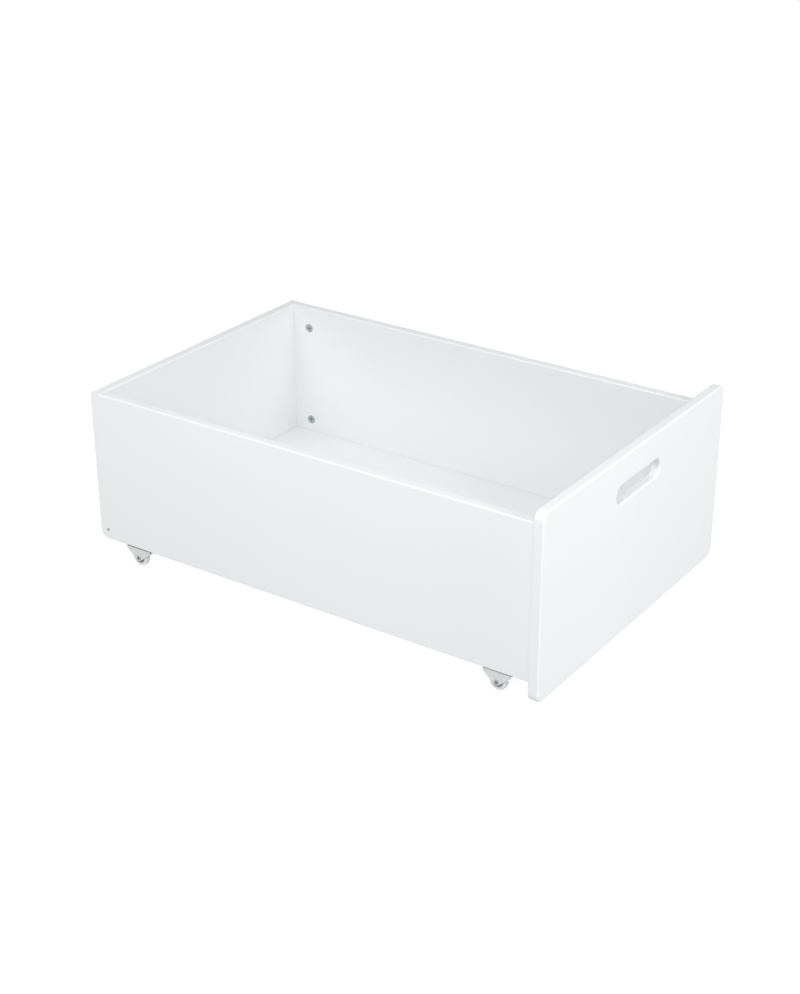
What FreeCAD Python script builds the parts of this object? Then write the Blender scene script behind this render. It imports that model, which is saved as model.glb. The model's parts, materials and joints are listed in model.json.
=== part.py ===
import FreeCAD, Part
import math
import os

# Under bed storage box on four fixed wheels, in millimetres with +Z up.
# The front panel faces -Y. Left (-X) and right (+X) are as seen facing the front.
# The origin is on the floor, under the middle of the box.

# Boards of the box
BOARD = 18.0                    # thickness of every lacquered board
BOX_LENGTH = 868.0              # front face of the front panel to the rear face
BOX_WIDTH = 538.0               # over the two side panels
SIDE_HEIGHT = 264.0
EDGE_ROUND = 2.5                # eased edges of the side and back panels
BACK_LOWER_ROUND = 14.0         # lower rear edge of the back panel

# Front panel, which overhangs the box on every side
FRONT_SIDE_OVERHANG = 20.0
FRONT_TOP_OVERHANG = 28.0
FRONT_DROP = 20.0               # how far it hangs below the side panels
FRONT_CORNER_ROUND = 15.0
FRONT_EDGE_ROUND = 3.0

# Hand slot through the front panel
SLOT_LENGTH = 140.0
SLOT_HEIGHT = 30.0
SLOT_BELOW_TOP = 62.0           # slot's middle below the panel's top edge
SLOT_EDGE_ROUND = 4.0

# Bottom panel and the groove that holds it
BOTTOM_THICKNESS = 6.0
GROOVE_HEIGHT = 6.2
GROOVE_DEPTH = 6.0
GROOVE_ABOVE_EDGE = 13.5        # groove's lower face above the side panels' lower edge
BOTTOM_END_GAP = 0.5            # left free at each groove's floor

# Corner joints: cam locks, cam bolts and dowels at the ends of the side panels
CAM_RADIUS = 7.4
CAM_DEPTH = 12.5
CAM_RECESS = 0.3                # the cam's face sits this far below the board's face
CAM_SETBACK = 34.5              # cam's middle from the side panel's end
CAM_HEIGHTS = (42.5, 225.0)     # above the side panel's lower edge
CAM_POCKET_RADIUS = 7.5
CAM_POCKET_DEPTH = 13.2
CAM_HOLLOW_RADIUS = 4.6         # room for the bolt's head inside the cam
CAM_HOLLOW_FACE = 4.8           # metal left over the head, measured from the cam's face
CAM_SLIT_FACE = 6.2             # metal left over the neck, measured from the cam's face
CAM_SLIT_WIDTH = 4.8
CAM_CROSS_LENGTH = 8.0
CAM_CROSS_WIDTH = 1.7
CAM_CROSS_DEPTH = 2.4
BOLT_HOLE_RADIUS = 4.0
BOLT_COLLAR_RADIUS = 3.9
BOLT_COLLAR_LENGTH = 2.0
BOLT_SHANK_RADIUS = 3.4
BOLT_SHANK_LENGTH = 25.0        # from the joint to the start of the neck
BOLT_NECK_RADIUS = 2.0
BOLT_HEAD_RADIUS = 3.3
BOLT_HEAD_HALF = 2.4            # half the head's length, either side of the cam's middle
BOLT_THREAD_ROOT = 2.3
BOLT_THREAD_CREST = 3.1
BOLT_THREAD_LENGTH = 11.0
BOLT_THREAD_PITCH = 1.8
BOLT_TIP = 2.3
BOLT_THREAD_CLEARANCE = 0.05    # round the thread, and past its end
DOWEL_RADIUS = 3.95
DOWEL_HOLE_RADIUS = 4.0
DOWEL_LENGTH = 30.0
DOWEL_IN_PANEL = 11.0           # the rest of the dowel is in the side panel's end
DOWEL_HOLE_SPARE = 1.0          # each hole is this much deeper than its share
DOWEL_HEIGHTS = (92.0, 172.0)
DOWEL_FLUTES = 12
DOWEL_FLUTE_RADIUS = 0.6
DOWEL_CHAMFER = 1.0

# Wheels: a pressed channel bracket, a rivet as the axle, a hub and a tyre
WHEEL_RADIUS = 15.0
WHEEL_WIDTH = 10.0
UNDERSIDE = 35.0                # lower edge of the side panels above the floor
FRONT_WHEEL_SETBACK = 66.0      # wheel's middle from the side panel's front end
REAR_WHEEL_SETBACK = 60.0       # wheel's middle from the side panel's rear end
WHEEL_INSET = 1.0               # wheel's middle inside the side panel's middle
STEEL = 1.5
BRACKET_LENGTH = 49.0
BRACKET_WIDTH = 15.0
BRACKET_BEND_RADIUS = 3.0       # outside of the two long bends
BRACKET_END_HEIGHT = 7.0        # skirt's height at both ends
BRACKET_CORNER_ROUND = 3.0
BRACKET_EYE_RADIUS = 5.5        # rounded lower end of the skirt, round the axle
AXLE_RADIUS = 2.5
AXLE_HOLE_RADIUS = 2.55         # in the bracket and in the hub
AXLE_HEAD_RADIUS = 4.2
AXLE_HEAD_HEIGHT = 1.0
AXLE_BORE_RADIUS = 1.6          # the rivet is hollow at both ends
AXLE_BORE_DEPTH = 4.0
HUB_RADIUS = 10.5
HUB_BOSS_RADIUS = 4.5
HUB_BOSS_LENGTH = 11.4
HUB_RIM_THICKNESS = 1.8
HUB_RECESS_DEPTH = 3.0
TYRE_SHOULDER_ROUND = 2.5

# Screws that hold each bracket to the side panel's lower edge
SCREW_SPACING = 38.0
SCREW_HEAD_RADIUS = 3.2
SCREW_HEAD_HEIGHT = 2.2
SCREW_THREAD_ROOT = 1.2
SCREW_THREAD_CREST = 1.7
SCREW_LENGTH = 12.0             # under the head
SCREW_PITCH = 1.4
SCREW_TIP = 3.0
SCREW_HOLE_CLEARANCE = 0.05
SCREW_CROSS_LENGTH = 3.4
SCREW_CROSS_WIDTH = 0.8
SCREW_CROSS_DEPTH = 1.3
BRACKET_HOLE_RADIUS = 2.0

# Places worked out from the sizes above
FRONT_FACE = -BOX_LENGTH / 2
REAR_FACE = BOX_LENGTH / 2
JOINT = BOX_LENGTH / 2 - BOARD  # ends of the side panels, in front and behind
OUTER = BOX_WIDTH / 2           # outer faces of the side panels
INNER = OUTER - BOARD           # inner faces of the side panels
BOARD_MIDDLE = OUTER - BOARD / 2
SIDE_TOP = UNDERSIDE + SIDE_HEIGHT
FRONT_BOTTOM = UNDERSIDE - FRONT_DROP
FRONT_TOP = SIDE_TOP + FRONT_TOP_OVERHANG
FRONT_HALF_WIDTH = OUTER + FRONT_SIDE_OVERHANG
GROOVE_LOW = UNDERSIDE + GROOVE_ABOVE_EDGE
GROOVE_HIGH = GROOVE_LOW + GROOVE_HEIGHT
BRACKET_UNDER_PLATE = UNDERSIDE - STEEL

CUT_MARGIN = 5.0                # how far a cutter runs past the face it opens
NEAR = 0.01                     # tolerance when an edge is picked by its place

SIDES = {"left": -1, "right": 1}
ENDS = {"front": -1, "rear": 1}


def block(x_range, y_range, z_range):
    """A plain box between two values along each axis, in either order."""
    lows = [min(limits) for limits in (x_range, y_range, z_range)]
    sizes = [abs(limits[1] - limits[0]) for limits in (x_range, y_range, z_range)]
    return Part.makeBox(*sizes, FreeCAD.Vector(*lows))


def rod(radius, start, end):
    """A round bar from one point to another."""
    start = FreeCAD.Vector(*start)
    run = FreeCAD.Vector(*end) - start
    return Part.makeCylinder(radius, run.Length, start, run)


def turned(profile, base, direction):
    """A turned piece: (distance along the axis, radius) points, from base along direction."""
    points = [FreeCAD.Vector(distance, radius, 0) for distance, radius in profile]
    face = Part.Face(Part.makePolygon(points + points[:1]))
    solid = face.revolve(FreeCAD.Vector(0, 0, 0), FreeCAD.Vector(1, 0, 0), 360)
    turn = FreeCAD.Rotation(FreeCAD.Vector(1, 0, 0), FreeCAD.Vector(*direction))
    solid.Placement = FreeCAD.Placement(FreeCAD.Vector(*base), turn)
    return solid


def edges_at(shape, **wanted):
    """The edges that lie wholly at a value, or within a range, of x, y or z."""
    found = []
    for edge in shape.Edges:
        ends = edge.BoundBox
        spans = {"x": (ends.XMin, ends.XMax), "y": (ends.YMin, ends.YMax), "z": (ends.ZMin, ends.ZMax)}
        inside = True
        for axis, value in wanted.items():
            low, high = value if isinstance(value, tuple) else (value, value)
            inside = inside and spans[axis][0] > low - NEAR and spans[axis][1] < high + NEAR
        if inside:
            found.append(edge)
    return found


def cross_recess(centre, normal, length, width, depth):
    """A driver's cross, cut from centre against normal, which lies along X or Z."""
    across = "YZ" if normal[0] else "XY"
    arms = []
    for long_axis in across:
        size = {axis: (length if axis == long_axis else width) for axis in across}
        reach = []
        for index, axis in enumerate("XYZ"):
            if axis in size:
                reach.append((centre[index] - size[axis] / 2, centre[index] + size[axis] / 2))
            else:
                outside = centre[index] + CUT_MARGIN * normal[index]
                floor = centre[index] - depth * normal[index]
                reach.append((outside, floor))
        arms.append(block(*reach))
    return arms[0].fuse(arms[1])


def thread(root, crest, pitch, length, tip):
    """Profile of a screw thread, drawn as rings, that ends in a cone of length tip."""
    points = []
    turns = int((length - tip) / pitch)
    for turn in range(turns):
        points.append((turn * pitch, root))
        points.append(((turn + 0.5) * pitch, crest))
    points.append((turns * pitch, root))
    points.append((length - tip, root))
    points.append((length, 0))
    return points


def corner_places():
    """Each corner of the box: its name, the side's sign along X and the end's sign along Y."""
    for end, end_sign in ENDS.items():
        for side, side_sign in SIDES.items():
            yield f"{end}_{side}", side_sign, end_sign


def wheel_middle(side_sign, end_sign):
    """The middle of a wheel, on its axle."""
    setback = FRONT_WHEEL_SETBACK if end_sign < 0 else REAR_WHEEL_SETBACK
    return side_sign * (BOARD_MIDDLE - WHEEL_INSET), end_sign * (JOINT - setback), WHEEL_RADIUS


def screw_places(side_sign, end_sign):
    """Where the two screws of a bracket meet the plate's lower face."""
    x, y, _ = wheel_middle(side_sign, end_sign)
    return [(x, y + offset, BRACKET_UNDER_PLATE) for offset in (-SCREW_SPACING / 2, SCREW_SPACING / 2)]


def screw_profile(clearance):
    """Shank and thread of a bracket screw, or of its hole with a clearance."""
    if not clearance:
        return [(0, 0)] + thread(SCREW_THREAD_ROOT, SCREW_THREAD_CREST, SCREW_PITCH, SCREW_LENGTH, SCREW_TIP)
    radius = SCREW_THREAD_CREST + clearance
    return [(0, 0), (0, radius), (SCREW_LENGTH - SCREW_TIP, radius), (SCREW_LENGTH + clearance, 0)]


# Holes and grooves ---------------------------------------------------------------

def side_holes(side_sign, end_sign):
    """What is drilled into one end of a side panel: cams, cam bolts, dowels and screws."""
    x = side_sign * BOARD_MIDDLE
    joint = end_sign * (JOINT + CUT_MARGIN)
    cuts = []
    for height in CAM_HEIGHTS:
        cam_y = end_sign * (JOINT - CAM_SETBACK)
        z = UNDERSIDE + height
        mouth = (side_sign * (INNER - CUT_MARGIN), cam_y, z)
        cuts.append(rod(CAM_POCKET_RADIUS, mouth, (side_sign * (INNER + CAM_POCKET_DEPTH), cam_y, z)))
        cuts.append(rod(BOLT_HOLE_RADIUS, (x, joint, z), (x, cam_y, z)))
    for height in DOWEL_HEIGHTS:
        z = UNDERSIDE + height
        depth = DOWEL_LENGTH - DOWEL_IN_PANEL + DOWEL_HOLE_SPARE
        cuts.append(rod(DOWEL_HOLE_RADIUS, (x, joint, z), (x, end_sign * (JOINT - depth), z)))
    for place in screw_places(side_sign, end_sign):
        cuts.append(turned(screw_profile(SCREW_HOLE_CLEARANCE), place, (0, 0, 1)))
    return cuts


def panel_holes(end_sign):
    """What is drilled into the inner face of the front or back panel."""
    cuts = []
    for side_sign in SIDES.values():
        x = side_sign * BOARD_MIDDLE
        mouth = end_sign * (JOINT - CUT_MARGIN)
        for height in CAM_HEIGHTS:
            z = UNDERSIDE + height
            floor = end_sign * (JOINT + BOLT_THREAD_LENGTH + BOLT_THREAD_CLEARANCE)
            cuts.append(rod(BOLT_THREAD_CREST + BOLT_THREAD_CLEARANCE, (x, mouth, z), (x, floor, z)))
        for height in DOWEL_HEIGHTS:
            z = UNDERSIDE + height
            floor = end_sign * (JOINT + DOWEL_IN_PANEL + DOWEL_HOLE_SPARE)
            cuts.append(rod(DOWEL_HOLE_RADIUS, (x, mouth, z), (x, floor, z)))
    return cuts


# Boards --------------------------------------------------------------------------

def side_panel(side_sign):
    """A side panel: eased long edges, a groove for the bottom and drilled ends."""
    panel = block((side_sign * INNER, side_sign * OUTER), (-JOINT, JOINT), (UNDERSIDE, SIDE_TOP))
    long_edges = []
    for x in (side_sign * INNER, side_sign * OUTER):
        for z in (UNDERSIDE, SIDE_TOP):
            long_edges += edges_at(panel, x=x, z=z)
    panel = panel.makeFillet(EDGE_ROUND, long_edges)
    groove = block(
        (side_sign * (INNER - CUT_MARGIN), side_sign * (INNER + GROOVE_DEPTH)),
        (-JOINT - CUT_MARGIN, JOINT + CUT_MARGIN),
        (GROOVE_LOW, GROOVE_HIGH),
    )
    return panel.cut([groove] + side_holes(side_sign, -1) + side_holes(side_sign, 1))


def back_panel():
    """The back panel covers the side panels' ends, and its groove is open at both ends."""
    panel = block((-OUTER, OUTER), (JOINT, REAR_FACE), (UNDERSIDE, SIDE_TOP))
    panel = panel.makeFillet(BACK_LOWER_ROUND, edges_at(panel, y=REAR_FACE, z=UNDERSIDE))
    long_edges = edges_at(panel, y=REAR_FACE, z=SIDE_TOP)
    for z in (UNDERSIDE, SIDE_TOP):
        long_edges += edges_at(panel, y=JOINT, z=z)
    panel = panel.makeFillet(EDGE_ROUND, long_edges)
    groove = block(
        (-OUTER - CUT_MARGIN, OUTER + CUT_MARGIN),
        (JOINT - CUT_MARGIN, JOINT + GROOVE_DEPTH),
        (GROOVE_LOW, GROOVE_HIGH),
    )
    return panel.cut([groove] + panel_holes(1))


def stopped_groove():
    """The front panel's groove ends inside the box, with the cutter's round ends."""
    half = INNER + GROOVE_DEPTH
    radius = GROOVE_HEIGHT / 2
    middle = (GROOVE_LOW + GROOVE_HIGH) / 2
    depth = (-JOINT + CUT_MARGIN, -JOINT - GROOVE_DEPTH)
    groove = block((-half, half), depth, (GROOVE_LOW, GROOVE_HIGH))
    for x in (-half, half):
        groove = groove.fuse(rod(radius, (x, depth[0], middle), (x, depth[1], middle)))
    return groove


def hand_slot():
    """The slot's cutter: a bar with round ends, through the whole board."""
    z = FRONT_TOP - SLOT_BELOW_TOP
    radius = SLOT_HEIGHT / 2
    reach = SLOT_LENGTH / 2 - radius
    through = (FRONT_FACE - CUT_MARGIN, -JOINT + CUT_MARGIN)
    slot = block((-reach, reach), through, (z - radius, z + radius))
    for x in (-reach, reach):
        slot = slot.fuse(rod(radius, (x, through[0], z), (x, through[1], z)))
    return slot.removeSplitter()


def front_panel():
    """The front panel: round corners, rounded edges and the hand slot."""
    panel = block((-FRONT_HALF_WIDTH, FRONT_HALF_WIDTH), (FRONT_FACE, -JOINT), (FRONT_BOTTOM, FRONT_TOP))
    corners = []
    for x in (-FRONT_HALF_WIDTH, FRONT_HALF_WIDTH):
        for z in (FRONT_BOTTOM, FRONT_TOP):
            corners += edges_at(panel, x=x, z=z)
    panel = panel.makeFillet(FRONT_CORNER_ROUND, corners)
    outline = edges_at(panel, y=FRONT_FACE) + edges_at(panel, y=-JOINT)
    panel = panel.makeFillet(FRONT_EDGE_ROUND, outline)
    panel = panel.cut(hand_slot())
    slot_z = FRONT_TOP - SLOT_BELOW_TOP
    around = {
        "x": (-SLOT_LENGTH / 2, SLOT_LENGTH / 2),
        "z": (slot_z - SLOT_HEIGHT / 2, slot_z + SLOT_HEIGHT / 2),
    }
    rims = edges_at(panel, y=FRONT_FACE, **around) + edges_at(panel, y=-JOINT, **around)
    panel = panel.makeFillet(SLOT_EDGE_ROUND, rims)
    return panel.cut([stopped_groove()] + panel_holes(-1))


def bottom_panel():
    """The bottom panel reaches into the groove on all four sides."""
    half_width = INNER + GROOVE_DEPTH - BOTTOM_END_GAP
    half_length = JOINT + GROOVE_DEPTH - BOTTOM_END_GAP
    heights = (GROOVE_LOW, GROOVE_LOW + BOTTOM_THICKNESS)
    return block((-half_width, half_width), (-half_length, half_length), heights)


# Joint hardware ------------------------------------------------------------------

def cam_lock(side_sign, end_sign, height):
    """A cast cam: a disc, hollow for the bolt's head, with a slit for its neck."""
    y = end_sign * (JOINT - CAM_SETBACK)
    z = UNDERSIDE + height
    face = side_sign * (INNER + CAM_RECESS)
    back = side_sign * (INNER + CAM_RECESS + CAM_DEPTH)
    past = side_sign * CUT_MARGIN
    cam = rod(CAM_RADIUS, (face, y, z), (back, y, z))
    hollow_start = face + side_sign * CAM_HOLLOW_FACE
    slit_start = face + side_sign * CAM_SLIT_FACE
    hollow = rod(CAM_HOLLOW_RADIUS, (hollow_start, y, z), (back + past, y, z))
    slit = block(
        (slit_start, slit_start + side_sign * CAM_SLIT_WIDTH),
        (y, y + end_sign * (CAM_RADIUS + CUT_MARGIN)),
        (z - CAM_RADIUS - CUT_MARGIN, z + CAM_RADIUS + CUT_MARGIN),
    )
    cross = cross_recess((face, y, z), (-side_sign, 0, 0), CAM_CROSS_LENGTH, CAM_CROSS_WIDTH, CAM_CROSS_DEPTH)
    return cam.cut([hollow, slit, cross])


def cam_bolt(side_sign, end_sign, height):
    """A cam bolt: its thread is in the panel, its head is in the cam."""
    head_start = -CAM_SETBACK - BOLT_HEAD_HALF
    head_end = -CAM_SETBACK + BOLT_HEAD_HALF
    taper = BOLT_HEAD_RADIUS - BOLT_NECK_RADIUS
    profile = [
        (head_start, 0),
        (head_start, BOLT_NECK_RADIUS),
        (head_start + taper, BOLT_HEAD_RADIUS),
        (head_end - taper, BOLT_HEAD_RADIUS),
        (head_end, BOLT_NECK_RADIUS),
        (-BOLT_SHANK_LENGTH, BOLT_NECK_RADIUS),
        (-BOLT_SHANK_LENGTH, BOLT_SHANK_RADIUS),
        (-BOLT_COLLAR_LENGTH, BOLT_SHANK_RADIUS),
        (-BOLT_COLLAR_LENGTH, BOLT_COLLAR_RADIUS),
        (0, BOLT_COLLAR_RADIUS),
    ]
    profile += thread(BOLT_THREAD_ROOT, BOLT_THREAD_CREST, BOLT_THREAD_PITCH, BOLT_THREAD_LENGTH, BOLT_TIP)
    base = (side_sign * BOARD_MIDDLE, end_sign * JOINT, UNDERSIDE + height)
    return turned(profile, base, (0, end_sign, 0))


def dowel(side_sign, end_sign, height):
    """A fluted wood dowel with chamfered ends, across the joint."""
    x = side_sign * BOARD_MIDDLE
    z = UNDERSIDE + height
    start = end_sign * (JOINT + DOWEL_IN_PANEL - DOWEL_LENGTH)
    profile = [
        (0, 0),
        (0, DOWEL_RADIUS - DOWEL_CHAMFER),
        (DOWEL_CHAMFER, DOWEL_RADIUS),
        (DOWEL_LENGTH - DOWEL_CHAMFER, DOWEL_RADIUS),
        (DOWEL_LENGTH, DOWEL_RADIUS - DOWEL_CHAMFER),
        (DOWEL_LENGTH, 0),
    ]
    body = turned(profile, (x, start, z), (0, end_sign, 0))
    flutes = []
    for index in range(DOWEL_FLUTES):
        angle = 2 * math.pi * index / DOWEL_FLUTES
        flute_x = x + DOWEL_RADIUS * math.cos(angle)
        flute_z = z + DOWEL_RADIUS * math.sin(angle)
        first = (flute_x, start - end_sign * CUT_MARGIN, flute_z)
        last = (flute_x, start + end_sign * (DOWEL_LENGTH + CUT_MARGIN), flute_z)
        flutes.append(rod(DOWEL_FLUTE_RADIUS, first, last))
    return body.cut(flutes)


# Wheels --------------------------------------------------------------------------

def bracket_outline(middle_y):
    """Side view of the bracket: a V that runs down to a round eye about the axle."""
    half = BRACKET_LENGTH / 2
    corner_z = UNDERSIDE - BRACKET_END_HEIGHT
    # The lower edge runs from the corner to where it touches the eye.
    corner_rise = corner_z - WHEEL_RADIUS
    to_corner = math.atan2(corner_rise, half)
    touch_angle = to_corner - math.acos(BRACKET_EYE_RADIUS / math.hypot(half, corner_rise))
    touch_y = BRACKET_EYE_RADIUS * math.cos(touch_angle)
    touch_z = WHEEL_RADIUS + BRACKET_EYE_RADIUS * math.sin(touch_angle)
    right_half = [(touch_y, touch_z), (half, corner_z), (half, UNDERSIDE)]
    left_half = [(-y, z) for y, z in reversed(right_half)]
    points = [FreeCAD.Vector(0, middle_y + y, z) for y, z in right_half + left_half]
    lowest = FreeCAD.Vector(0, middle_y, WHEEL_RADIUS - BRACKET_EYE_RADIUS)
    eye = Part.Arc(points[-1], lowest, points[0]).toShape()
    return Part.Face(Part.Wire(Part.makePolygon(points).Edges + [eye]))


def wheel_bracket(side_sign, end_sign):
    """A pressed steel channel, open below, under the side panel's edge."""
    x, y, z = wheel_middle(side_sign, end_sign)
    half_width = BRACKET_WIDTH / 2
    outline = bracket_outline(y)
    outline.translate(FreeCAD.Vector(x - half_width, 0, 0))
    shell = outline.extrude(FreeCAD.Vector(BRACKET_WIDTH, 0, 0))
    corners = []
    for end_y in (y - BRACKET_LENGTH / 2, y + BRACKET_LENGTH / 2):
        corners += edges_at(shell, y=end_y, z=UNDERSIDE - BRACKET_END_HEIGHT)
    shell = shell.makeFillet(BRACKET_CORNER_ROUND, corners)
    bends = []
    for bend_x in (x - half_width, x + half_width):
        bends += edges_at(shell, x=bend_x, z=UNDERSIDE)
    shell = shell.makeFillet(BRACKET_BEND_RADIUS, bends)
    inner_half = half_width - STEEL
    inside = block(
        (x - inner_half, x + inner_half),
        (y - BRACKET_LENGTH, y + BRACKET_LENGTH),
        (0, BRACKET_UNDER_PLATE),
    )
    upper = []
    for edge_x in (x - inner_half, x + inner_half):
        upper += edges_at(inside, x=edge_x, z=BRACKET_UNDER_PLATE)
    inside = inside.makeFillet(BRACKET_BEND_RADIUS - STEEL, upper)
    holes = [rod(AXLE_HOLE_RADIUS, (x - BRACKET_WIDTH, y, z), (x + BRACKET_WIDTH, y, z))]
    for hole_x, hole_y, hole_z in screw_places(side_sign, end_sign):
        low = (hole_x, hole_y, hole_z - CUT_MARGIN)
        high = (hole_x, hole_y, UNDERSIDE + CUT_MARGIN)
        holes.append(rod(BRACKET_HOLE_RADIUS, low, high))
    return shell.cut([inside] + holes)


def axle(side_sign, end_sign):
    """A rivet through both skirts: a low head and a short bore at each end."""
    start = -BRACKET_WIDTH / 2 - AXLE_HEAD_HEIGHT
    end = -start
    profile = [
        (start + AXLE_BORE_DEPTH, 0),
        (start + AXLE_BORE_DEPTH, AXLE_BORE_RADIUS),
        (start, AXLE_BORE_RADIUS),
        (start, AXLE_HEAD_RADIUS - AXLE_HEAD_HEIGHT),
        (start + AXLE_HEAD_HEIGHT / 2, AXLE_HEAD_RADIUS),
        (start + AXLE_HEAD_HEIGHT, AXLE_HEAD_RADIUS),
        (start + AXLE_HEAD_HEIGHT, AXLE_RADIUS),
        (end - AXLE_HEAD_HEIGHT, AXLE_RADIUS),
        (end - AXLE_HEAD_HEIGHT, AXLE_HEAD_RADIUS),
        (end - AXLE_HEAD_HEIGHT / 2, AXLE_HEAD_RADIUS),
        (end, AXLE_HEAD_RADIUS - AXLE_HEAD_HEIGHT),
        (end, AXLE_BORE_RADIUS),
        (end - AXLE_BORE_DEPTH, AXLE_BORE_RADIUS),
        (end - AXLE_BORE_DEPTH, 0),
    ]
    return turned(profile, wheel_middle(side_sign, end_sign), (side_sign, 0, 0))


def wheel_hub(side_sign, end_sign):
    """A moulded hub: a boss on the axle, a web and a rim under the tyre."""
    half = WHEEL_WIDTH / 2
    boss = HUB_BOSS_LENGTH / 2
    web = half - HUB_RECESS_DEPTH
    rim = HUB_RADIUS - HUB_RIM_THICKNESS
    one_half = [
        (boss, AXLE_HOLE_RADIUS),
        (boss, HUB_BOSS_RADIUS),
        (web, HUB_BOSS_RADIUS),
        (web, rim),
        (half, rim),
        (half, HUB_RADIUS),
    ]
    other_half = [(-distance, radius) for distance, radius in reversed(one_half)]
    return turned(one_half + other_half, wheel_middle(side_sign, end_sign), (1, 0, 0))


def wheel_tyre(side_sign, end_sign):
    """A soft ring over the hub, with rounded shoulders."""
    x, y, z = wheel_middle(side_sign, end_sign)
    half = WHEEL_WIDTH / 2
    ring = rod(WHEEL_RADIUS, (x - half, y, z), (x + half, y, z))
    rims = edges_at(ring, x=x - half) + edges_at(ring, x=x + half)
    ring = ring.makeFillet(TYRE_SHOULDER_ROUND, rims)
    return ring.cut(rod(HUB_RADIUS, (x - WHEEL_WIDTH, y, z), (x + WHEEL_WIDTH, y, z)))


def bracket_screw(place):
    """A pan-head screw, driven up into the side panel's lower edge."""
    head = [
        (-SCREW_HEAD_HEIGHT, 0),
        (-SCREW_HEAD_HEIGHT, SCREW_HEAD_RADIUS - SCREW_HEAD_HEIGHT / 2),
        (-SCREW_HEAD_HEIGHT / 2, SCREW_HEAD_RADIUS),
        (0, SCREW_HEAD_RADIUS),
    ]
    screw = turned(head + screw_profile(0)[1:], place, (0, 0, 1))
    top = (place[0], place[1], place[2] - SCREW_HEAD_HEIGHT)
    return screw.cut(cross_recess(top, (0, 0, -1), SCREW_CROSS_LENGTH, SCREW_CROSS_WIDTH, SCREW_CROSS_DEPTH))


# Assembly ------------------------------------------------------------------------

def all_parts():
    """Every node's name with its shape."""
    parts = {
        "front_panel": front_panel(),
        "back_panel": back_panel(),
        "bottom_panel": bottom_panel(),
    }
    for side, side_sign in SIDES.items():
        parts[f"{side}_side_panel"] = side_panel(side_sign)
    for corner, side_sign, end_sign in corner_places():
        at = (side_sign, end_sign)
        locks = [cam_lock(*at, height) for height in CAM_HEIGHTS]
        bolts = [cam_bolt(*at, height) for height in CAM_HEIGHTS]
        dowels = [dowel(*at, height) for height in DOWEL_HEIGHTS]
        screws = [bracket_screw(place) for place in screw_places(*at)]
        parts[f"{corner}_cam_locks"] = Part.makeCompound(locks)
        parts[f"{corner}_cam_bolts"] = Part.makeCompound(bolts)
        parts[f"{corner}_dowels"] = Part.makeCompound(dowels)
        parts[f"{corner}_wheel_bracket"] = wheel_bracket(*at)
        parts[f"{corner}_axle"] = axle(*at)
        parts[f"{corner}_wheel_hub"] = wheel_hub(*at)
        parts[f"{corner}_wheel_tyre"] = wheel_tyre(*at)
        parts[f"{corner}_bracket_screws"] = Part.makeCompound(screws)
    return parts


os.makedirs("parts", exist_ok=True)
for node, shape in all_parts().items():
    shape.exportStep(f"parts/{node}.step")
    state = "valid" if shape.isValid() else "NOT VALID"
    print(node, state, len(shape.Solids), "solid(s)", round(shape.Volume))
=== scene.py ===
import bmesh
import bpy
import json
import math
from mathutils import Matrix, Vector


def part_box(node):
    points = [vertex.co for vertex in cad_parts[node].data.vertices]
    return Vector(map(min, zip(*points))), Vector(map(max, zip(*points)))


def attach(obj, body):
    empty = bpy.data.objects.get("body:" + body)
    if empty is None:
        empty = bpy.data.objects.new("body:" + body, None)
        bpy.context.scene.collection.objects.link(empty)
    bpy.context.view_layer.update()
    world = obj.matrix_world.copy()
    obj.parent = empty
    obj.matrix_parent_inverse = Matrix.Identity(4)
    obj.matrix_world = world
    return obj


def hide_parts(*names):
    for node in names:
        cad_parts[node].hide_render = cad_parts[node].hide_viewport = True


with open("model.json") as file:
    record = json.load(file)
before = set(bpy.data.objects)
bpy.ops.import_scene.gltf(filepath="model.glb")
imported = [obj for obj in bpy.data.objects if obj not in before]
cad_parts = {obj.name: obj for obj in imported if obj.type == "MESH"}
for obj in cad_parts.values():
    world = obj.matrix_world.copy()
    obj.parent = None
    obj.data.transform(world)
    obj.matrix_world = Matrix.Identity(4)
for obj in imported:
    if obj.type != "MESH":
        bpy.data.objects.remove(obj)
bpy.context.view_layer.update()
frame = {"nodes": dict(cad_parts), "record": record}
nodes = frame["nodes"]


# Materials -----------------------------------------------------------------------

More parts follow.
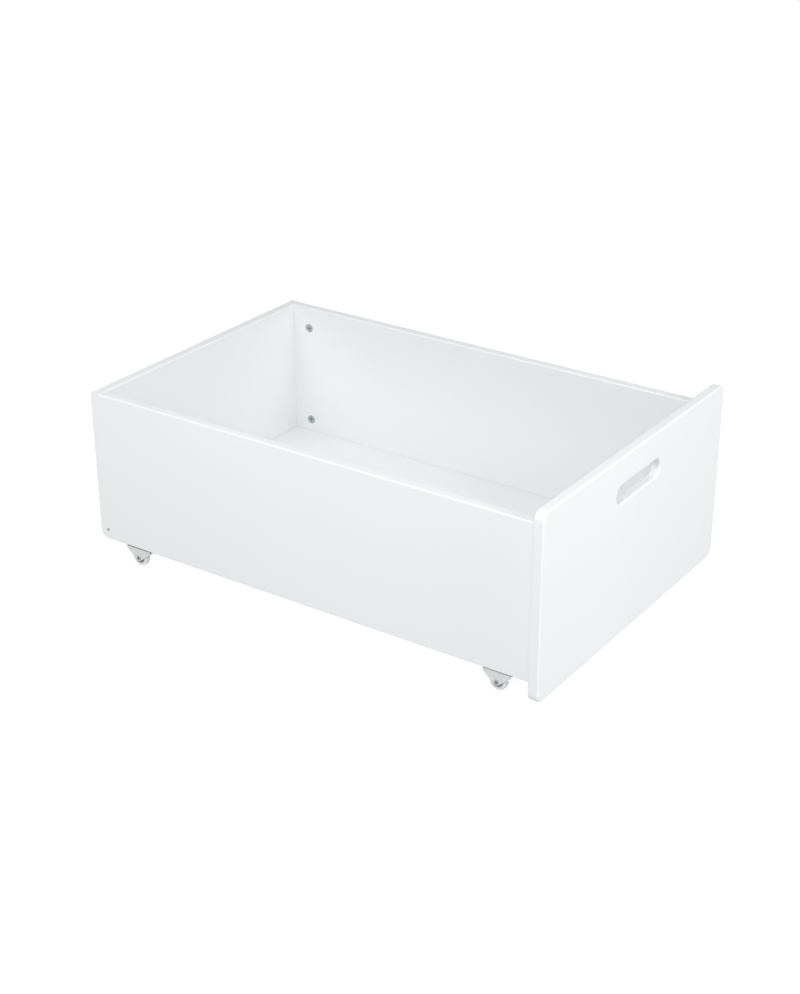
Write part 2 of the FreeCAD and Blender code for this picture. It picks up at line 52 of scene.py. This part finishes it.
class Shader:
    """A material with one Principled BSDF and short ways to add procedural detail."""

    def __init__(self, name, color, roughness, metallic=0.0):
        self.material = bpy.data.materials.new(name)
        self.material.use_nodes = True
        self.tree = self.material.node_tree
        self.bsdf = self.tree.nodes["Principled BSDF"]
        self.set("Base Color", (*color, 1.0))
        self.set("Roughness", roughness)
        self.set("Metallic", metallic)
        self.set("IOR", 1.5)
        self.color = color
        self.height = None

    def set(self, socket, value):
        self.bsdf.inputs[socket].default_value = value

    def node(self, kind, **inputs):
        made = self.tree.nodes.new(kind)
        for name, value in inputs.items():
            socket = made.inputs[name.replace("_", " ")]
            if hasattr(value, "links"):
                self.tree.links.new(value, socket)
            else:
                socket.default_value = value
        return made

    def place(self, stretch=(1, 1, 1)):
        """Object coordinates, in metres, squeezed or stretched along each axis."""
        coordinates = self.tree.nodes.new("ShaderNodeTexCoord").outputs["Object"]
        mapping = self.node("ShaderNodeMapping", Vector=coordinates)
        mapping.inputs["Scale"].default_value = stretch
        return mapping.outputs["Vector"]

    def noise(self, size, detail=2.0, stretch=(1, 1, 1)):
        """Noise whose features are about size metres across."""
        made = self.node("ShaderNodeTexNoise", Vector=self.place(stretch), Scale=1 / size, Detail=detail)
        return made.outputs["Fac"]

    def span(self, factor, low, high, from_low=0.3, from_high=0.7):
        """Maps the middle of a noise's range to low..high."""
        made = self.node("ShaderNodeMapRange", Value=factor)
        made.inputs["From Min"].default_value = from_low
        made.inputs["From Max"].default_value = from_high
        made.inputs["To Min"].default_value = low
        made.inputs["To Max"].default_value = high
        return made.outputs["Result"]

    def tint(self, factor, other):
        """Mixes the base colour towards another colour by a factor."""
        mix = self.tree.nodes.new("ShaderNodeMix")
        mix.data_type = "RGBA"
        current = self.bsdf.inputs["Base Color"]
        if current.links:
            self.tree.links.new(current.links[0].from_socket, mix.inputs[6])
        else:
            mix.inputs[6].default_value = current.default_value
        mix.inputs[7].default_value = (*other, 1.0)
        self.tree.links.new(factor, mix.inputs[0])
        self.tree.links.new(mix.outputs[2], current)

    def mottle(self, size, shade, detail=2.0, stretch=(1, 1, 1)):
        """Soft patches about size metres across, in the material's colour times shade."""
        patches = self.span(self.noise(size, detail, stretch), 0, 1)
        self.tint(patches, [channel * shade for channel in self.color])

    def rough(self, factor, low, high):
        """Lets the roughness wander between low and high."""
        self.tree.links.new(self.span(factor, low, high), self.bsdf.inputs["Roughness"])

    def bump(self, height, distance):
        """Adds relief: distance is the height of the detail in metres."""
        made = self.node("ShaderNodeBump", Height=height, Distance=distance)
        if self.height:
            self.tree.links.new(self.height.outputs["Normal"], made.inputs["Normal"])
        self.height = made
        self.tree.links.new(made.outputs["Normal"], self.bsdf.inputs["Normal"])


def lacquer():
    """White lacquer on board: faint orange peel, fine grain and slight unevenness."""
    made = Shader("white_lacquer", (0.888, 0.903, 0.912), 0.36)
    made.mottle(0.35, 0.965)
    made.mottle(0.004, 0.985, detail=3)
    made.rough(made.noise(0.05, detail=4), 0.31, 0.42)
    made.bump(made.noise(0.0022, detail=1), 0.00003)
    made.bump(made.noise(0.0004, detail=2), 0.00001)
    return made.material


def foil():
    """White foil on thin fibreboard: a fine pressed grain along the box, and bare brown edges."""
    made = Shader("white_foil", (0.87, 0.89, 0.90), 0.45)
    made.mottle(0.25, 0.97)
    made.rough(made.noise(0.03, detail=4), 0.40, 0.52)
    made.bump(made.noise(0.0012, detail=3, stretch=(1, 0.12, 1)), 0.00003)
    bare_fibreboard = (0.20, 0.15, 0.11)
    white_until = 0.0004
    bare_from = 0.0002
    _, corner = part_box("bottom_panel")
    place = made.node("ShaderNodeSeparateXYZ", Vector=made.place())
    for axis, edge in (("X", corner.x), ("Y", corner.y)):
        distance = made.node("ShaderNodeMath")
        distance.operation = "ABSOLUTE"
        made.tree.links.new(place.outputs[axis], distance.inputs[0])
        at_edge = made.span(distance.outputs[0], 0, 1, edge - white_until, edge - bare_from)
        made.tint(at_edge, bare_fibreboard)
    return made.material


def zinc_plate():
    """Zinc on pressed steel: soft spangle, fine scratches, a dull film and a painted shade band in the
    crevice under the board.
    """
    made = Shader("zinc_plated_steel", (0.92, 0.93, 0.935), 0.3, metallic=0.72)
    made.mottle(0.006, 0.91, detail=3)
    # Painted shade: a dark band along the top of each bracket, where the board above shades the crevice.
    painted_shade_color = (0.20, 0.22, 0.23)
    shade_band_fades_in = (0.0318, 0.0338)
    shade_band_fades_out = (0.0360, 0.0370)
    height = made.node("ShaderNodeSeparateXYZ", Vector=made.place()).outputs["Z"]
    painted_shade_band = made.node("ShaderNodeMath")
    painted_shade_band.operation = "MULTIPLY"
    made.tree.links.new(made.span(height, 0, 1, *shade_band_fades_in), painted_shade_band.inputs[0])
    made.tree.links.new(made.span(height, 1, 0, *shade_band_fades_out), painted_shade_band.inputs[1])
    made.tint(painted_shade_band.outputs[0], painted_shade_color)
    made.rough(made.noise(0.004, detail=4), 0.36, 0.54)
    made.bump(made.noise(0.0006, detail=3, stretch=(1, 0.2, 1)), 0.00001)
    return made.material


def rivet_steel():
    """Oiled steel of the rivets: darker than the zinc, with a fine grain."""
    made = Shader("rivet_steel", (0.62, 0.64, 0.66), 0.4, metallic=1.0)
    made.mottle(0.002, 0.7, detail=3)
    made.rough(made.noise(0.001, detail=3), 0.34, 0.50)
    made.bump(made.noise(0.0004, detail=2), 0.00001)
    return made.material


def cast_zinc():
    """Die-cast zinc: dull grey, slightly grainy."""
    made = Shader("cast_zinc", (0.60, 0.64, 0.66), 0.42, metallic=1.0)
    made.mottle(0.003, 0.78, detail=4)
    made.rough(made.noise(0.002, detail=3), 0.36, 0.55)
    made.bump(made.noise(0.0005, detail=3), 0.00003)
    return made.material


def hub_plastic():
    """Moulded grey plastic: slightly uneven in colour and gloss."""
    made = Shader("grey_plastic", (0.55, 0.57, 0.58), 0.45)
    made.mottle(0.01, 0.88, detail=3)
    made.rough(made.noise(0.003, detail=3), 0.38, 0.52)
    made.bump(made.noise(0.0004, detail=2), 0.00001)
    return made.material


def tyre_rubber():
    """Pale grey rubber: dull, a little soiled, with a fine grain."""
    made = Shader("light_grey_rubber", (0.88, 0.90, 0.90), 0.6)
    made.mottle(0.008, 0.88, detail=4)
    made.rough(made.noise(0.002, detail=4), 0.52, 0.72)
    made.bump(made.noise(0.0005, detail=4), 0.00003)
    return made.material


def beech():
    """Beech dowels: grain along the dowel, which lies along the box."""
    made = Shader("beech", (0.62, 0.43, 0.25), 0.6)
    made.mottle(0.0012, 0.72, detail=5, stretch=(1, 0.1, 1))
    made.rough(made.noise(0.001, detail=3, stretch=(1, 0.1, 1)), 0.5, 0.7)
    made.bump(made.noise(0.0006, detail=4, stretch=(1, 0.08, 1)), 0.00004)
    return made.material


finishes = {
    "white_lacquered_board": lacquer(),
    "white_bottom_board": foil(),
    "cast_zinc": cast_zinc(),
    "zinc_plated_steel": zinc_plate(),
    "grey_plastic": hub_plastic(),
    "light_grey_rubber": tyre_rubber(),
    "beech": beech(),
}
for part in frame["record"]["subparts"]:
    mesh = nodes[part["node"]].data
    mesh.materials.clear()
    mesh.materials.append(finishes[part["material_slot"]])
rivets = rivet_steel()
for name in nodes:
    if name.endswith("_axle"):
        nodes[name].data.materials[0] = rivets


# Wheels and cam lock rims --------------------------------------------------------

MM = 0.001
RING_STEPS = 120
SHARP_EDGE = math.radians(32)

# Tyre and hub, in mm: lengths run along the axle from the wheel's middle
WHEEL_HALF_WIDTH = 5.0
TREAD_RADIUS = 14.85
SHOULDER_ROUND = 2.5
SHOULDER_STEPS = 8
PARTING_LINE_RADIUS = 14.97
PARTING_LINE_HALF_WIDTH = 0.25
PARTING_LINE_SLOPE = 0.15
SIDE_GROOVE_RADII = (11.25, 12.05)
SIDE_GROOVE_DEPTH = 0.3
SIDE_GROOVE_SLOPE = 0.15
HUB_RADIUS = 10.5
HUB_RIM_INSIDE = 8.7
HUB_RIM_BEVEL = 0.15
HUB_WEB_HALF = 2.0
HUB_BOSS_HALF = 5.7
HUB_BOSS_RADIUS = 4.5
HUB_BOSS_BEVEL = 0.2
AXLE_HOLE_RADIUS = 2.55
RIBS = 6
RIB_TOP = 4.1
RIB_HALF_THICKNESS = (0.65, 0.45)   # at the web, at the rib's top
RIB_OVERLAP = (0.2, 0.3)            # how far a rib runs into the web, and into the boss and the rim

# Rim of a cam lock, in mm
CAM_RIM_RADII = (7.3, 8.3)
CAM_RIM_HEIGHT = 0.4
CAM_RIM_BEVEL = (0.4, 0.15)         # across, down
CAM_RIM_SINK = 0.1


def mesh_object(name, points, faces):
    mesh = bpy.data.meshes.new(name)
    mesh.from_pydata(points, [], faces)
    made = bpy.data.objects.new(name, mesh)
    bpy.context.scene.collection.objects.link(made)
    return made


def ring(profile, middle):
    """Points and faces of a closed profile, (length along X, radius) in mm, turned about X."""
    points, faces = [], []
    count = len(profile)
    for step in range(RING_STEPS):
        angle = 2 * math.pi * step / RING_STEPS
        across, down = math.sin(angle), -math.cos(angle)
        for along, radius in profile:
            points.append(middle + MM * Vector((along, radius * across, radius * down)))
        here, next_step = step * count, (step + 1) % RING_STEPS * count
        for corner in range(count):
            following = (corner + 1) % count
            faces.append((here + corner, here + following, next_step + following, next_step + corner))
    return points, faces


def mirrored(half_profile):
    return half_profile + [(-along, radius) for along, radius in reversed(half_profile)]


def tyre_profile():
    """Rounded shoulders, a parting line round the tread and a shallow groove in each side."""
    half = [
        (PARTING_LINE_HALF_WIDTH, PARTING_LINE_RADIUS),
        (PARTING_LINE_HALF_WIDTH + PARTING_LINE_SLOPE, TREAD_RADIUS),
    ]
    for step in range(SHOULDER_STEPS + 1):
        angle = math.radians(90 - step * 90 / SHOULDER_STEPS)
        along = WHEEL_HALF_WIDTH - SHOULDER_ROUND + SHOULDER_ROUND * math.cos(angle)
        half.append((along, TREAD_RADIUS - SHOULDER_ROUND + SHOULDER_ROUND * math.sin(angle)))
    groove_low, groove_high = SIDE_GROOVE_RADII
    groove_floor = WHEEL_HALF_WIDTH - SIDE_GROOVE_DEPTH
    half += [
        (WHEEL_HALF_WIDTH, groove_high),
        (groove_floor, groove_high - SIDE_GROOVE_SLOPE),
        (groove_floor, groove_low + SIDE_GROOVE_SLOPE),
        (WHEEL_HALF_WIDTH, groove_low),
        (WHEEL_HALF_WIDTH, HUB_RADIUS),
    ]
    return mirrored(half)


def hub_profile():
    """A boss on the axle, a web, and a rim under the tyre."""
    return mirrored([
        (HUB_BOSS_HALF, AXLE_HOLE_RADIUS),
        (HUB_BOSS_HALF, HUB_BOSS_RADIUS - HUB_BOSS_BEVEL),
        (HUB_BOSS_HALF - HUB_BOSS_BEVEL, HUB_BOSS_RADIUS),
        (HUB_WEB_HALF, HUB_BOSS_RADIUS),
        (HUB_WEB_HALF, HUB_RIM_INSIDE),
        (WHEEL_HALF_WIDTH - HUB_RIM_BEVEL, HUB_RIM_INSIDE),
        (WHEEL_HALF_WIDTH, HUB_RIM_INSIDE + HUB_RIM_BEVEL),
        (WHEEL_HALF_WIDTH, HUB_RADIUS),
    ])


def rib(middle, side, turn):
    """A rib in the hub's recess, from the boss to the rim, slightly thinner at its top."""
    into_web, into_walls = RIB_OVERLAP
    points = []
    for depth, half_thickness in zip((HUB_WEB_HALF - into_web, RIB_TOP), RIB_HALF_THICKNESS):
        for radius in (HUB_BOSS_RADIUS - into_walls, HUB_RIM_INSIDE + into_walls):
            for across in (-half_thickness, half_thickness):
                place = Vector((side * depth, across, radius))
                points.append(middle + MM * (Matrix.Rotation(turn, 3, "X") @ place))
    faces = [(0, 1, 3, 2), (4, 6, 7, 5), (0, 4, 5, 1), (2, 3, 7, 6), (0, 2, 6, 4), (1, 5, 7, 3)]
    return points, faces


def smooth_piece(name, shells, material_slot, body):
    """One smooth-shaded piece with sharp edges kept, made from shells of points and faces."""
    points, faces = [], []
    for shell_points, shell_faces in shells:
        first = len(points)
        points += shell_points
        faces += [tuple(first + index for index in face) for face in shell_faces]
    piece = mesh_object(name, points, faces)
    turned_outward = bmesh.new()
    turned_outward.from_mesh(piece.data)
    bmesh.ops.recalc_face_normals(turned_outward, faces=turned_outward.faces)
    turned_outward.to_mesh(piece.data)
    turned_outward.free()
    piece.data.shade_smooth()
    piece.data.set_sharp_from_angle(angle=SHARP_EDGE)
    piece.data.materials.append(finishes[material_slot])
    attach(piece, body)
    return piece


def detailed_wheel(corner):
    """A tyre and a hub in place of the plain CAD ones, on the same body."""
    low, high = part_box(f"{corner}_wheel_tyre")
    middle = (low + high) / 2
    wheel = f"{corner}_wheel"
    tyre = smooth_piece(f"{corner}_tyre", [ring(tyre_profile(), middle)], "light_grey_rubber", wheel)
    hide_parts(f"{wheel}_tyre")
    shells = [ring(hub_profile(), middle)]
    for side in (-1, 1):
        shells += [rib(middle, side, 2 * math.pi * (number + 0.5) / RIBS) for number in range(RIBS)]
    hub = smooth_piece(f"{corner}_hub", shells, "grey_plastic", wheel)
    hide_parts(f"{wheel}_hub")


def cam_rims(corner):
    """The thin rim of each cam lock, which covers the edge of its pocket."""
    low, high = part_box(f"{corner}_cam_locks")
    inward, face = (1, high.x) if low.x < 0 else (-1, low.x)
    cam_radius = (high.y - low.y) / 2
    inside, outside = CAM_RIM_RADII
    bevel_across, bevel_down = CAM_RIM_BEVEL
    outline = [
        (-CAM_RIM_SINK, inside),
        (CAM_RIM_HEIGHT, inside),
        (CAM_RIM_HEIGHT, outside - bevel_across),
        (CAM_RIM_HEIGHT - bevel_down, outside),
        (-CAM_RIM_SINK, outside),
    ]
    profile = [(inward * along, radius) for along, radius in outline]
    heights = (low.z + cam_radius, high.z - cam_radius)
    rims = [ring(profile, Vector((face, (low.y + high.y) / 2, height))) for height in heights]
    smooth_piece(f"{corner}_cam_rims", rims, "cast_zinc", "box")


for corner in ("front_left", "front_right", "rear_left", "rear_right"):
    detailed_wheel(corner)
    cam_rims(corner)


# Floor, light and camera ---------------------------------------------------------

FLOOR_HALF = 14.0


def backdrop_paper():
    """Paper with a glow of its own, so that it stays nearly white and its shadows stay faint."""
    made = Shader("pale_paper", (0.16, 0.16, 0.16), 0.9)
    made.tint(made.span(made.noise(0.4), 0, 1), (0.155, 0.155, 0.155))
    made.set("Emission Color", (1.0, 1.0, 1.0, 1.0))
    made.set("Emission Strength", 0.90)
    made.set("Specular IOR Level", 0.0)
    return made.material


floor_corners = [(x * FLOOR_HALF, y * FLOOR_HALF, 0) for x, y in ((-1, -1), (1, -1), (1, 1), (-1, 1))]
floor = mesh_object("floor", floor_corners, [(0, 1, 2, 3)])
floor.data.materials.append(backdrop_paper())
floor.visible_diffuse = False
floor.visible_glossy = False
floor.visible_shadow = False

# The studio's soft light: a bright ceiling, light sent back up by the floor, and dim walls between them.
# The bounds say how far up a direction points: -1 is straight down and 1 is straight up.
CEILING_LIGHT = 0.93
CEILING_BOUNDS = (0.55, 0.65)
WALL_LIGHT = 0.17
BOUNCE_LIGHT = 0.69
BOUNCE_BOUNDS = (-0.04, 0.04)
BACKDROP_SEEN = 1.1
SOFTBOX_DISTANCE = 2.6
SOFTBOX_SIZE = 1.2
LIGHT_TARGET = Vector((0, 0, 0.15))

world = bpy.data.worlds.new("studio")
bpy.context.scene.world = world
world.use_nodes = True
sky = world.node_tree


def sky_range(value, bounds, to_low, to_high):
    """Maps a value between two bounds to another range."""
    made = sky.nodes.new("ShaderNodeMapRange")
    made.inputs["From Min"].default_value, made.inputs["From Max"].default_value = bounds
    made.inputs["To Min"].default_value = to_low
    made.inputs["To Max"].default_value = to_high
    sky.links.new(value, made.inputs["Value"])
    return made


upward = sky.nodes.new("ShaderNodeSeparateXYZ")
sky.links.new(sky.nodes.new("ShaderNodeTexCoord").outputs["Generated"], upward.inputs[0])
from_below = sky_range(upward.outputs["Z"], BOUNCE_BOUNDS, BOUNCE_LIGHT, WALL_LIGHT)
from_above = sky_range(upward.outputs["Z"], CEILING_BOUNDS, 0.0, CEILING_LIGHT - WALL_LIGHT)
given = sky.nodes.new("ShaderNodeMath")
given.operation = "ADD"
sky.links.new(from_below.outputs["Result"], given.inputs[0])
sky.links.new(from_above.outputs["Result"], given.inputs[1])
seen_directly = sky.nodes.new("ShaderNodeLightPath").outputs["Is Camera Ray"]
strength = sky_range(seen_directly, (0.0, 1.0), 0.0, BACKDROP_SEEN)
sky.links.new(given.outputs[0], strength.inputs["To Min"])
sky.links.new(strength.outputs["Result"], sky.nodes["Background"].inputs["Strength"])
sky.nodes["Background"].inputs["Color"].default_value = (1.0, 1.0, 1.0, 1.0)


def softbox(name, azimuth, elevation, power):
    """A square area light that faces the box."""
    a, e = math.radians(azimuth), math.radians(elevation)
    back = Vector((math.sin(a) * math.cos(e), -math.cos(a) * math.cos(e), math.sin(e)))
    lamp = bpy.data.lights.new(name, "AREA")
    lamp.shape = "SQUARE"
    lamp.size = SOFTBOX_SIZE
    lamp.energy = power
    made = bpy.data.objects.new(name, lamp)
    bpy.context.scene.collection.objects.link(made)
    made.location = LIGHT_TARGET + back * SOFTBOX_DISTANCE
    made.rotation_euler = back.to_track_quat("Z", "Y").to_euler()
    made.visible_camera = False


softbox("front_light", azimuth=0, elevation=20, power=25.0)
softbox("key_light", azimuth=-60, elevation=35, power=14.6)
softbox("side_light", azimuth=-100, elevation=30, power=18.6)

bpy.context.scene.view_settings.view_transform = "Standard"
bpy.context.scene.view_settings.look = "None"

# The camera's place in metres, where it looks from in degrees, and its lens and sensor in mm
CAMERA_PLACE = Vector((-2.27018, -1.55213, 1.45422))
CAMERA_AZIMUTH = -57.20
CAMERA_ELEVATION = 26.51
CAMERA_ROLL = 0.67
CAMERA_LENS = 66.29
CAMERA_SENSOR_WIDTH = 36.0
CAMERA_SHIFT = (-0.0484, 0.0204)

camera_data = bpy.data.cameras.new("camera")
camera_data.lens = CAMERA_LENS
camera_data.sensor_width = CAMERA_SENSOR_WIDTH
camera_data.shift_x, camera_data.shift_y = CAMERA_SHIFT
camera = bpy.data.objects.new("camera", camera_data)
bpy.context.scene.collection.objects.link(camera)
azimuth, elevation = math.radians(CAMERA_AZIMUTH), math.radians(CAMERA_ELEVATION)
back = Vector((
    math.sin(azimuth) * math.cos(elevation),
    -math.cos(azimuth) * math.cos(elevation),
    math.sin(elevation),
))
right = Vector((0, 0, 1)).cross(back).normalized()
facing = Matrix((right, back.cross(right), back)).transposed()
turn = facing @ Matrix.Rotation(math.radians(CAMERA_ROLL), 3, "Z")
camera.matrix_world = Matrix.Translation(CAMERA_PLACE) @ turn.to_4x4()
bpy.context.scene.camera = camera
